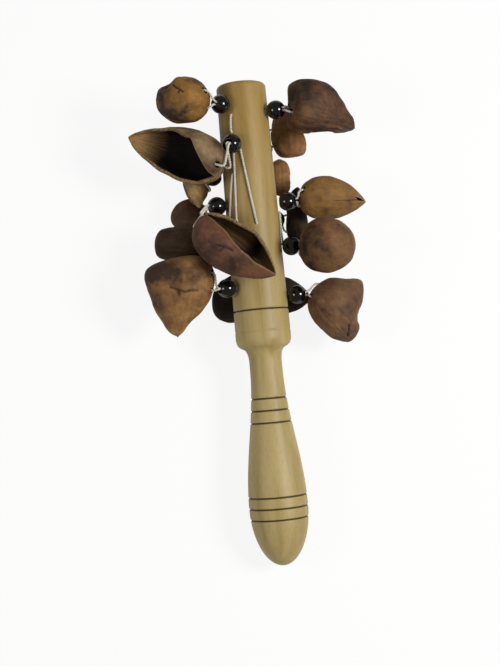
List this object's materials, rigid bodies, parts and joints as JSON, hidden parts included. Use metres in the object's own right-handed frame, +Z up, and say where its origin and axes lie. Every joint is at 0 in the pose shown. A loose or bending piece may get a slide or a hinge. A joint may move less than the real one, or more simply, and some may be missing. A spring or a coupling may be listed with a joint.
{
  "type": "seed rattle",
  "caption": "Hand shaker: a turned wooden stick with a waisted grip and a straight head, hung all round with hollow dried seed pods on white cord loops with black beads",
  "frame": {"origin": "centre of the bounding box, on the table", "axes": "+Y along the stick from butt to head, +X to the right seen from above, +Z up from the table; the stick rises 6 degrees towards the head"},
  "size_m": [0.1097, 0.2278, 0.0613],
  "materials": {
    "wood": "smooth turned wood with burnt grooves",
    "bead": "polished black",
    "cord": "twisted white cord",
    "pod": "dry woody seed shell"
  },
  "bodies": {
    "stick": {"stick": "wood", "stick_cord_1": "cord", "stick_cord_2": "cord", "stick_cord_3": "cord", "stick_cord_4": "cord", "stick_cord_5": "cord", "stick_cord_6": "cord", "stick_cord_7": "cord", "stick_cord_8": "cord", "lacing_left_upper": "cord", "lacing_front_left": "cord", "lacing_front_middle": "cord", "lacing_front_right": "cord", "lacing_right": "cord"},
    "bead_1_left": {"bead_1_left": "bead", "loop_1_left": "cord"},
    "pod_1_left": {"pod_1_left": "pod"},
    "bead_1_right": {"bead_1_right": "bead", "loop_1_right": "cord"},
    "pod_1_right": {"pod_1_right": "pod"},
    "bead_2_front": {"bead_2_front": "bead", "loop_2_front": "cord"},
    "pod_2_front": {"pod_2_front": "pod"},
    "bead_2_back": {"bead_2_back": "bead", "loop_2_back": "cord"},
    "pod_2_back": {"pod_2_back": "pod"},
    "bead_3_left": {"bead_3_left": "bead", "loop_3_left": "cord"},
    "pod_3_left": {"pod_3_left": "pod"},
    "bead_3_back": {"bead_3_back": "bead", "loop_3_back": "cord"},
    "pod_3_back": {"pod_3_back": "pod"},
    "bead_4_left": {"bead_4_left": "bead", "loop_4_left": "cord"},
    "pod_4_left": {"pod_4_left": "pod"},
    "bead_4_right": {"bead_4_right": "bead", "loop_4_right": "cord"},
    "pod_4_right": {"pod_4_right": "pod"},
    "bead_5_left": {"bead_5_left": "bead", "loop_5_left": "cord"},
    "pod_5_left": {"pod_5_left": "pod"},
    "bead_5_back": {"bead_5_back": "bead", "loop_5_back": "cord"},
    "pod_5_back": {"pod_5_back": "pod"},
    "bead_6_left": {"bead_6_left": "bead", "loop_6_left": "cord"},
    "pod_6_left": {"pod_6_left": "pod"},
    "bead_6_right": {"bead_6_right": "bead", "loop_6_right": "cord"},
    "pod_6_right": {"pod_6_right": "pod"},
    "bead_7_left": {"bead_7_left": "bead", "loop_7_left": "cord"},
    "pod_7_left": {"pod_7_left": "pod"},
    "bead_7_right": {"bead_7_right": "bead", "loop_7_right": "cord"},
    "pod_7_right": {"pod_7_right": "pod"},
    "bead_8_right": {"bead_8_right": "bead", "loop_8_right": "cord"},
    "pod_8_right": {"pod_8_right": "pod"}
  },
  "joints": [
    {"name": "swing_1_left", "type": "hinge", "parent": "stick", "child": "bead_1_left", "pos_m": [-0.00717, 0.10146, 0.04318], "axis": [0, 0.9945, 0.1045], "range_deg": [-9, 20]},
    {"name": "rock_1_left", "type": "hinge", "parent": "bead_1_left", "child": "pod_1_left", "pos_m": [-0.01675, 0.1022, 0.05342], "axis": [0.081, -0.8378, -0.5399], "range_deg": [-9, 10]},
    {"name": "swing_1_right", "type": "hinge", "parent": "stick", "child": "bead_1_right", "pos_m": [0.01092, 0.09825, 0.03833], "axis": [0, 0.9945, 0.1045], "range_deg": [-20, 20]},
    {"name": "rock_1_right", "type": "hinge", "parent": "bead_1_right", "child": "pod_1_right", "pos_m": [0.02291, 0.09722, 0.04046], "axis": [-0.1024, 0.5543, -0.826], "range_deg": [-30, 30]},
    {"name": "swing_2_front", "type": "hinge", "parent": "stick", "child": "bead_2_front", "pos_m": [-0.0046, 0.08208, 0.04293], "axis": [0, 0.9945, 0.1045], "range_deg": [0, 18]},
    {"name": "rock_2_front", "type": "hinge", "parent": "bead_2_front", "child": "pod_2_front", "pos_m": [-0.01277, 0.07078, 0.05094], "axis": [-0.3362, -0.0953, 0.937], "range_deg": [0, 28]},
    {"name": "swing_2_back", "type": "hinge", "parent": "stick", "child": "bead_2_back", "pos_m": [0.00611, 0.08562, 0.0217], "axis": [0, 0.9945, 0.1045], "range_deg": [-20, 20]},
    {"name": "rock_2_back", "type": "hinge", "parent": "bead_2_back", "child": "pod_2_back", "pos_m": [0.01381, 0.0926, 0.01273], "axis": [-0.0523, 0.9932, 0.1044], "range_deg": [-20, 20]},
    {"name": "swing_3_left", "type": "hinge", "parent": "stick", "child": "bead_3_left", "pos_m": [-0.01203, 0.07152, 0.02961], "axis": [0, 0.9945, 0.1045], "range_deg": [0, 20]},
    {"name": "rock_3_left", "type": "hinge", "parent": "bead_3_left", "child": "pod_3_left", "pos_m": [-0.02039, 0.07137, 0.01671], "axis": [0, -0.9397, 0.342], "range_deg": [-12, 0]},
    {"name": "swing_3_back", "type": "hinge", "parent": "stick", "child": "bead_3_back", "pos_m": [0.00325, 0.07264, 0.01897], "axis": [0, 0.9945, 0.1045], "range_deg": [-6, 20]},
    {"name": "rock_3_back", "type": "hinge", "parent": "bead_3_back", "child": "pod_3_back", "pos_m": [0.00828, 0.0718, 0.00774], "axis": [0, 0.9945, 0.1045], "range_deg": [-12, 18]},
    {"name": "swing_4_left", "type": "hinge", "parent": "stick", "child": "bead_4_left", "pos_m": [-0.01151, 0.05575, 0.03327], "axis": [0, 0.9945, 0.1045], "range_deg": [-6, 7]},
    {"name": "rock_4_left", "type": "hinge", "parent": "bead_4_left", "child": "pod_4_left", "pos_m": [-0.02434, 0.04495, 0.04995], "axis": [0.4922, 0.5943, 0.636], "range_deg": [-24, 2]},
    {"name": "swing_4_right", "type": "hinge", "parent": "stick", "child": "bead_4_right", "pos_m": [0.01242, 0.0561, 0.02992], "axis": [0, 0.9945, 0.1045], "range_deg": [-20, 6]},
    {"name": "rock_4_right", "type": "hinge", "parent": "bead_4_right", "child": "pod_4_right", "pos_m": [0.0248, 0.05713, 0.02969], "axis": [-0.2087, -0.7911, -0.5749], "range_deg": [-22, 30]},
    {"name": "swing_5_left", "type": "hinge", "parent": "stick", "child": "bead_5_left", "pos_m": [-0.01198, 0.0441, 0.02454], "axis": [0, 0.9945, 0.1045], "range_deg": [-20, 0]},
    {"name": "rock_5_left", "type": "hinge", "parent": "bead_5_left", "child": "pod_5_left", "pos_m": [-0.02306, 0.05835, 0.00952], "axis": [0.1365, -0.8924, -0.4302], "range_deg": [-6, 30]},
    {"name": "swing_5_back", "type": "hinge", "parent": "stick", "child": "bead_5_back", "pos_m": [0.00119, 0.04506, 0.01537], "axis": [0, 0.9945, 0.1045], "range_deg": [-20, 10]},
    {"name": "rock_5_back", "type": "hinge", "parent": "bead_5_back", "child": "pod_5_back", "pos_m": [-0.00299, 0.02782, 0.00716], "axis": [1, 0, 0], "range_deg": [0, 16]},
    {"name": "swing_6_left", "type": "hinge", "parent": "stick", "child": "bead_6_left", "pos_m": [-0.0125, 0.03194, 0.02541], "axis": [0, 0.9945, 0.1045], "range_deg": [-16, 8]},
    {"name": "rock_6_left", "type": "hinge", "parent": "bead_6_left", "child": "pod_6_left", "pos_m": [-0.02486, 0.03999, 0.02342], "axis": [0.0472, -0.6444, -0.7632], "range_deg": [-10, 22]},
    {"name": "swing_6_right", "type": "hinge", "parent": "stick", "child": "bead_6_right", "pos_m": [0.01228, 0.03447, 0.03007], "axis": [0, 0.9945, 0.1045], "range_deg": [-20, 4]},
    {"name": "rock_6_right", "type": "hinge", "parent": "bead_6_right", "child": "pod_6_right", "pos_m": [0.02296, 0.03245, 0.03491], "axis": [0.1506, 0.9869, -0.0582], "range_deg": [-30, 16]},
    {"name": "swing_7_left", "type": "hinge", "parent": "stick", "child": "bead_7_left", "pos_m": [-0.01077, 0.01659, 0.03173], "axis": [0, 0.9945, 0.1045], "range_deg": [-6, 8]},
    {"name": "rock_7_left", "type": "hinge", "parent": "bead_7_left", "child": "pod_7_left", "pos_m": [-0.02094, 0.01946, 0.03895], "axis": [0.1392, -0.9848, -0.1035], "range_deg": [-12, 4]},
    {"name": "swing_7_right", "type": "hinge", "parent": "stick", "child": "bead_7_right", "pos_m": [0.01291, 0.01189, 0.02576], "axis": [0, 0.9945, 0.1045], "range_deg": [-20, 20]},
    {"name": "rock_7_right", "type": "hinge", "parent": "bead_7_right", "child": "pod_7_right", "pos_m": [0.02656, 0.01279, 0.02584], "axis": [0.5389, 0.7355, -0.4105], "range_deg": [-28, 12]},
    {"name": "swing_8_right", "type": "hinge", "parent": "stick", "child": "bead_8_right", "pos_m": [0.00809, 0.05072, 0.01892], "axis": [0, 0.9945, 0.1045], "range_deg": [-6, 6]},
    {"name": "rock_8_right", "type": "hinge", "parent": "bead_8_right", "child": "pod_8_right", "pos_m": [0.01713, 0.04949, 0.01155], "axis": [0, 0.9945, 0.1045], "range_deg": [-26, 26]}
  ]
}
